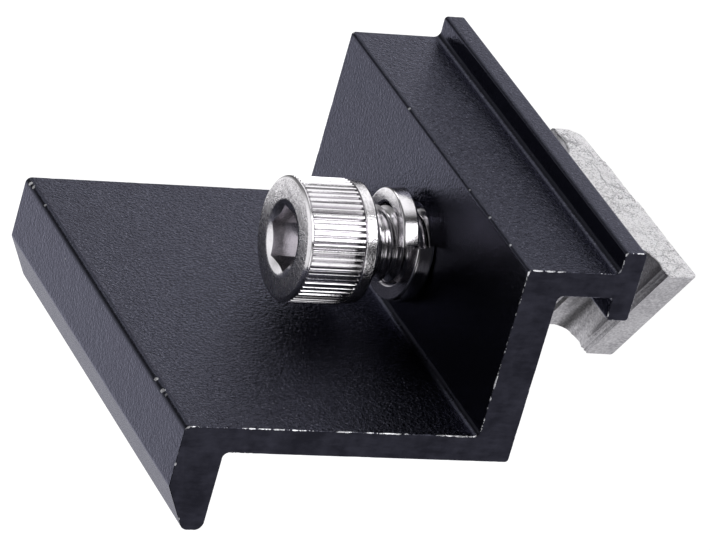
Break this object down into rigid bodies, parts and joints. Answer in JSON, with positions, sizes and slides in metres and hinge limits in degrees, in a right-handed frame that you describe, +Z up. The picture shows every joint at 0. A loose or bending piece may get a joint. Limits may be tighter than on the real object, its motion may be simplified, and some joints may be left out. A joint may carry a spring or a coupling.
{
  "type": "solar end clamp",
  "caption": "Z-profile end clamp that holds the edge of a framed solar module on a slotted rail, with cap screw, spring washer and angled T-shaped rail nut.",
  "frame": {"origin": "where the screw's axis meets the top plane of the rail, midway along the clamp", "axes": "+Z up the screw's axis towards its head, +X from the lip towards the foot, along the rail, +Y along the extrusion, across the rail"},
  "size_m": [0.0339, 0.05, 0.0558],
  "materials": {
    "black_anodised": "black anodised, fine matt grain",
    "stainless_steel": "bright, cold formed",
    "raw_aluminium": "as extruded, with rough sawn ends"
  },
  "bodies": {
    "clamp": {"clamp_body": "black_anodised"},
    "screw": {"cap_screw": "stainless_steel"},
    "washer": {"spring_washer": "stainless_steel"},
    "nut": {"rail_nut": "raw_aluminium"}
  },
  "joints": [
    {"name": "screw_turn", "type": "hinge", "parent": "clamp", "child": "screw", "pos_m": [0, 0, 0.0126], "axis": [0, 0, 1], "range_deg": [-719, 431]},
    {"name": "nut_climb", "type": "slide", "parent": "clamp", "child": "nut", "axis": [0, 0, 1], "range_m": [-0.0015, 0.0025]},
    {"name": "washer_slide", "type": "slide", "parent": "clamp", "child": "washer", "axis": [0, 0, 1], "range_m": [0, 0.0028]}
  ],
  "couplings": [
    {"joint": "nut_climb", "follows": "screw_turn", "m_per_rad": -0.00019894}
  ]
}
